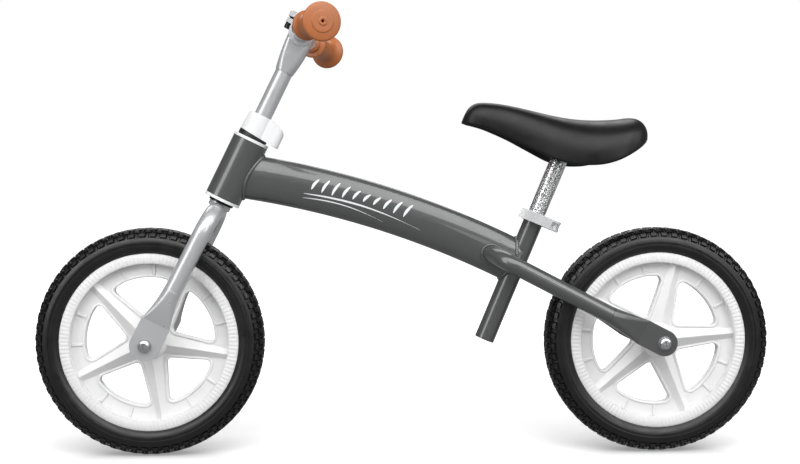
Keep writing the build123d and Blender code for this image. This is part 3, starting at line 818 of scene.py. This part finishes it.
def stay_weld_path(side):
    """Where a stay's surface, carried inward, meets the main tube."""
    start = stay_point(STAY_ROOT[0], side * STAY_ROOT[1])
    end = stay_point(STAY_BEND[0], side * STAY_BEND[1])
    axis = (end - start).normalized()
    first = axis.orthogonal().normalized()
    second = axis.cross(first)
    path = []
    for angle in circle_angles(96):
        out = first * math.cos(angle) + second * math.sin(angle)
        rim = start + out * (STAY_RADIUS + STAY_WELD_SPREAD)
        travel = crossing(lambda ahead: tube_value(rim + axis * ahead) >= 1, -12.0, 40.0)
        path.append(rim + axis * travel)
    return path


# ---- decal -----------------------------------------------------------------------------------
DECAL_LIFT = 0.12
DASH_COUNT = 10
DASH_FIRST_X = 116
DASH_PITCH = 13
DASH_MIDDLE = 5.5
SWEEP_FRONT_X = 128
SWEEPS = ((-7.5, 150, 3.0), (-13, 104, 1.8))
STROKE_STEPS = 28
STROKE_ROWS = 3


def stroke(points, faces, centre_line, widths, side):
    """One tapered stroke of the decal: a strip that lies on the main tube's flank."""
    first = len(points)
    count = len(centre_line)
    for index, (x, up) in enumerate(centre_line):
        before = centre_line[max(0, index - 1)]
        after = centre_line[min(count - 1, index + 1)]
        along = Vector((after[0] - before[0], after[1] - before[1])).normalized()
        normal = Vector((-along.y, along.x))
        for row in range(STROKE_ROWS):
            shift = normal * widths[index] * (row / (STROKE_ROWS - 1) - 0.5)
            points.append(tube_surface(x + shift.x, up + shift.y, DECAL_LIFT, side) * MM)
    faces += shifted(grid_faces(count, STROKE_ROWS, wrap_columns=False), first)


def decal_strokes():
    """Slanted dashes of growing length over one long sweep, as (line, widths)."""
    strokes = []
    for index in range(DASH_COUNT):
        x = DASH_FIRST_X - index * DASH_PITCH
        reach = 9 + 2.2 * math.sin(index * 0.9)
        line = []
        widths = []
        for step in range(STROKE_STEPS + 1):
            t = step / STROKE_STEPS
            along = x + 6.5 * (0.5 - t) + 1.2 * math.sin(math.pi * t)
            line.append((along, DASH_MIDDLE + reach * (t - 0.42) * 1.6))
            widths.append(0.5 + 3.0 * math.sin(math.pi * t) ** 0.7)
        strokes.append((line, widths))
    for lift, length, weight in SWEEPS:
        line = []
        widths = []
        for step in range(3 * STROKE_STEPS + 1):
            t = step / (3 * STROKE_STEPS)
            line.append((SWEEP_FRONT_X - length * t, lift + 4.5 * math.sin(math.pi * t) - 3.5 * t))
            widths.append(0.25 + weight * math.sin(math.pi * min(1, t * 1.15)) ** 0.8 * (1 - 0.7 * t))
        strokes.append((line, widths))
    return strokes


def decal():
    """The plain stripes on both flanks of the main tube."""
    for side, label in ((1, "left"), (-1, "right")):
        points = []
        faces = []
        for line, widths in decal_strokes():
            stroke(points, faces, line, widths, side)
        add_mesh(label + "_tube_stripes", points, faces, "decal", "frame")


# ---- seat post -------------------------------------------------------------------------------
POST_RADIUS = 11.1
POST_BORE = 9.3
POST_LOW = 70.0
POST_HIGH = 268.0
KNURL_LOW = 120.0
KNURL_DEPTH = 0.25
KNURL_AROUND = 24
KNURL_PITCH = 3.0
POST_COLUMNS = 120
POST_ROWS = 240
HARD_CREASE = 50


def seat_post():
    """The chrome post, with a pressed pattern on its upper part that keeps it from slipping."""
    side = SEAT_AXIS.cross(SIDEWAYS).normalized()
    step = (POST_HIGH - POST_LOW) / POST_ROWS
    rings = [(POST_LOW + step * row, None) for row in range(POST_ROWS + 1)]
    rings += [(POST_HIGH, POST_BORE), (POST_LOW, POST_BORE)]
    points = []
    for along, bore in rings:
        for angle in circle_angles(POST_COLUMNS):
            radius = bore
            if bore is None:
                twist = 2 * math.pi * along / KNURL_PITCH
                turn = KNURL_AROUND * angle
                mark = math.sin(turn + twist) * math.sin(turn - twist)
                depth = KNURL_DEPTH * max(0.0, mark) * random.uniform(0.4, 1)
                radius = POST_RADIUS - (depth if along > KNURL_LOW else 0)
            out = side * math.cos(angle) + SIDEWAYS * math.sin(angle)
            points.append(SEAT_BOTTOM + SEAT_AXIS * along * MM + out * radius * MM)
    faces = grid_faces(len(rings), POST_COLUMNS, wrap_rows=True)
    piece = add_mesh("knurled_seat_post", points, faces, "knurled_chrome", "seat")
    piece.data.set_sharp_from_angle(angle=math.radians(HARD_CREASE))
    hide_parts("seat_post")


# ---- bar rings -------------------------------------------------------------------------------
BAR_RING = [(17.2, 11.2), (17.2, 14.6), (17.9, 15.3), (22.6, 15.3), (23.3, 14.6), (23.3, 11.2)]
BAR_COLLAR = [(23.5, 11.2), (23.5, 12.6), (24, 13), (27.4, 13), (27.9, 12.6), (27.9, 11.2)]


def bar_rings():
    """A black rubber ring and a plain metal one on the bar, on the right side of the stem."""
    for profile, name, material in (
        (BAR_RING, "bar_rubber_ring", "black_plastic"), (BAR_COLLAR, "bar_metal_ring", "zinc_steel"),
    ):
        points, faces = turned(BAR_CENTRE, -SIDEWAYS, profile, 64, close=True)
        piece = add_mesh(name, points, faces, material, "bar")
        piece.data.set_sharp_from_angle(angle=math.radians(HARD_CREASE))


# ---- stage -----------------------------------------------------------------------------------
SUBJECT = Vector((0, 0, 0.3))


def softbox(name, bearing, height, distance, width, tall, radiance):
    """A lamp panel facing the bike: bearing in degrees from the left side towards the front."""
    lamp = bpy.data.lights.new(name, "AREA")
    lamp.shape = "RECTANGLE"
    lamp.size = width
    lamp.size_y = tall
    lamp.energy = radiance * math.pi * width * tall
    across = math.radians(bearing)
    up = math.radians(height)
    way = Vector((math.sin(across) * math.cos(up), math.cos(across) * math.cos(up), math.sin(up)))
    holder = bpy.data.objects.new(name, lamp)
    holder.location = SUBJECT + way * distance
    holder.rotation_euler = (-way).to_track_quat("-Z", "Y").to_euler()
    bpy.context.scene.collection.objects.link(holder)


SOFTBOXES = [
    # name, bearing, height, distance, width, tall, radiance
    ("key", -8, 46, 2.2, 3.4, 1.8, 3.3),
    ("low_panel", -30, 9, 2.2, 1.5, 0.34, 1.5),
    ("front_strip", 50, 20, 2.2, 0.8, 1.7, 3.4),
    ("rear_strip", -36, 14, 2.2, 0.34, 1.4, 2.4),
    ("rear_fill", -72, 24, 2.2, 1.0, 1.3, 2.2),
    ("far_side", 172, 46, 2.4, 2.6, 1.2, 2.0),
]
FLOOR_REACH = 40
# painted shadow: the floor turns grey where ambient occlusion finds the bike within this reach
PAINTED_SHADOW_REACH = 0.11
PAINTED_SHADOW_GREY = (0.1, 0.1, 0.1, 1)
FLOOR_WHITE = (0.95, 0.95, 0.95, 1)
# painted light: the floor glows at this strength near the bike, rising to full between GLOW_START and GLOW_FULL
# metres out
FLOOR_GLOW = 0.3
GLOW_START = 0.6
GLOW_FULL = 1.5


def floor():
    """A white sheet that only the eye sees, so that it throws no light up at the bike. Painted shadow darkens it
    where the bike comes near, and it glows as painted light, weakly near the bike and fully far out.
    """
    mesh = bpy.data.meshes.new("floor")
    reach = FLOOR_REACH
    corners = [(-reach, -reach, 0), (reach, -reach, 0), (reach, reach, 0), (-reach, reach, 0)]
    mesh.from_pydata(corners, [], [(0, 1, 2, 3)])
    recipe = Recipe("floor")
    # painted contact shadow: grey close under the bike, white elsewhere
    painted_shadow_ao = recipe.add("ShaderNodeAmbientOcclusion", Distance=PAINTED_SHADOW_REACH)
    recipe.paint(recipe.mix(
        recipe.spread(painted_shadow_ao, "AO", 0, 1, 0.1, 1.0), "Result", PAINTED_SHADOW_GREY, FLOOR_WHITE,
    ))
    recipe.set(Roughness=0.9, Specular_IOR_Level=0.0)
    # painted light: white emission whose strength grows with distance from the bike
    recipe.shader.inputs["Emission Color"].default_value = (1, 1, 1, 1)
    length = recipe.add("ShaderNodeVectorMath", operation="LENGTH")
    recipe.link(recipe.place, "Object", length, 0)
    glow = recipe.spread(length, "Value", FLOOR_GLOW, 1.0, GLOW_START, GLOW_FULL)
    recipe.link(glow, "Result", recipe.shader, "Emission Strength")
    recipe.material.cycles.emission_sampling = "NONE"
    mesh.materials.append(recipe.material)
    sheet = bpy.data.objects.new("floor", mesh)
    bpy.context.scene.collection.objects.link(sheet)
    sheet.visible_diffuse = False
    sheet.visible_glossy = False
    sheet.visible_transmission = False
    sheet.visible_shadow = False


LOW_LIGHT = 0.34
FRONT_LIGHT = 0.26
BACK_LIGHT = 0.14


def studio_air():
    """White all round for the eye, and for the light a dim room that is darker on the far side."""
    world = bpy.data.worlds.new("studio")
    bpy.context.scene.world = world
    world.use_nodes = True
    tree = world.node_tree
    tree.nodes.clear()
    output = tree.nodes.new("ShaderNodeOutputWorld")
    background = tree.nodes.new("ShaderNodeBackground")
    room = tree.nodes.new("ShaderNodeTexCoord")
    split = tree.nodes.new("ShaderNodeSeparateXYZ")
    across = tree.nodes.new("ShaderNodeMapRange")
    below = tree.nodes.new("ShaderNodeMapRange")
    blend = tree.nodes.new("ShaderNodeMix")
    path = tree.nodes.new("ShaderNodeLightPath")
    brightest = tree.nodes.new("ShaderNodeMath")
    brightest.operation = "MAXIMUM"
    for node, low, high, first, second in (
        (across, -0.4, 0.5, BACK_LIGHT, FRONT_LIGHT), (below, -0.06, 0.02, 1.0, 0.0),
    ):
        node.inputs["From Min"].default_value = low
        node.inputs["From Max"].default_value = high
        node.inputs["To Min"].default_value = first
        node.inputs["To Max"].default_value = second
    blend.inputs["B"].default_value = LOW_LIGHT
    tree.links.new(room.outputs["Generated"], split.inputs[0])
    tree.links.new(split.outputs["Y"], across.inputs["Value"])
    tree.links.new(split.outputs["Z"], below.inputs["Value"])
    tree.links.new(below.outputs["Result"], blend.inputs["Factor"])
    tree.links.new(across.outputs["Result"], blend.inputs["A"])
    tree.links.new(blend.outputs["Result"], brightest.inputs[0])
    tree.links.new(path.outputs["Is Camera Ray"], brightest.inputs[1])
    tree.links.new(brightest.outputs[0], background.inputs["Strength"])
    background.inputs["Color"].default_value = (1, 1, 1, 1)
    tree.links.new(background.outputs[0], output.inputs["Surface"])


CAMERA_PLACE = Vector((0.0669, 1.5234, 0.3428))
CAMERA_TARGET = Vector((0.0066, 0, 0.2838))
CAMERA_LENS = 53.45
SENSOR_WIDTH = 36


def camera():
    """The calibrated camera, on the left of the bike."""
    lens = bpy.data.cameras.new("camera")
    lens.lens = CAMERA_LENS
    lens.sensor_width = SENSOR_WIDTH
    lens.clip_start = 0.01
    holder = bpy.data.objects.new("camera", lens)
    holder.location = CAMERA_PLACE
    holder.rotation_euler = (CAMERA_TARGET - CAMERA_PLACE).to_track_quat("-Z", "Y").to_euler()
    bpy.context.scene.collection.objects.link(holder)
    bpy.context.scene.camera = holder


# ---- assembly --------------------------------------------------------------------------------
def dress_cad_nodes():
    """Gives each CAD node the material of its slot in the record."""
    slots = {part["node"]: part["material_slot"] for part in frame["record"]["subparts"]}
    for name, node in frame["nodes"].items():
        node.data.materials.clear()
        finish_name = "plated_steel" if name in PLATED_NODES else slots[name]
        node.data.materials.append(MATERIALS[finish_name])


MATERIALS = make_materials()
dress_cad_nodes()
tyre("front_tyre_tread", FRONT_AXLE, "front_wheel", "front_tyre")
tyre("rear_tyre_tread", REAR_AXLE, "rear_wheel", "rear_tyre")
rim_band("front_rim_ribs", FRONT_AXLE, "front_wheel")
rim_band("rear_rim_ribs", REAR_AXLE, "rear_wheel")
window_lips("front_rim_lips", FRONT_AXLE, "front_wheel", 117.5)
window_lips("rear_rim_lips", REAR_AXLE, "rear_wheel", 175.5)
grip("left_grip_moulding", 1, "left_grip")
grip("right_grip_moulding", -1, "right_grip")
saddle()
weld("head_weld", head_weld_path(), 2.3, "frame", "frame_paint", "frame_welds")
weld("seat_weld", seat_weld_path(), 2.2, "frame", "frame_paint")
weld("left_stay_weld", stay_weld_path(1), 2.0, "frame", "frame_paint", "stay_welds")
weld("right_stay_weld", stay_weld_path(-1), 2.0, "frame", "frame_paint")
decal()
seat_post()
bar_rings()
floor()
studio_air()
for box in SOFTBOXES:
    softbox(*box)
camera()
bpy.context.scene.view_settings.view_transform = "Standard"
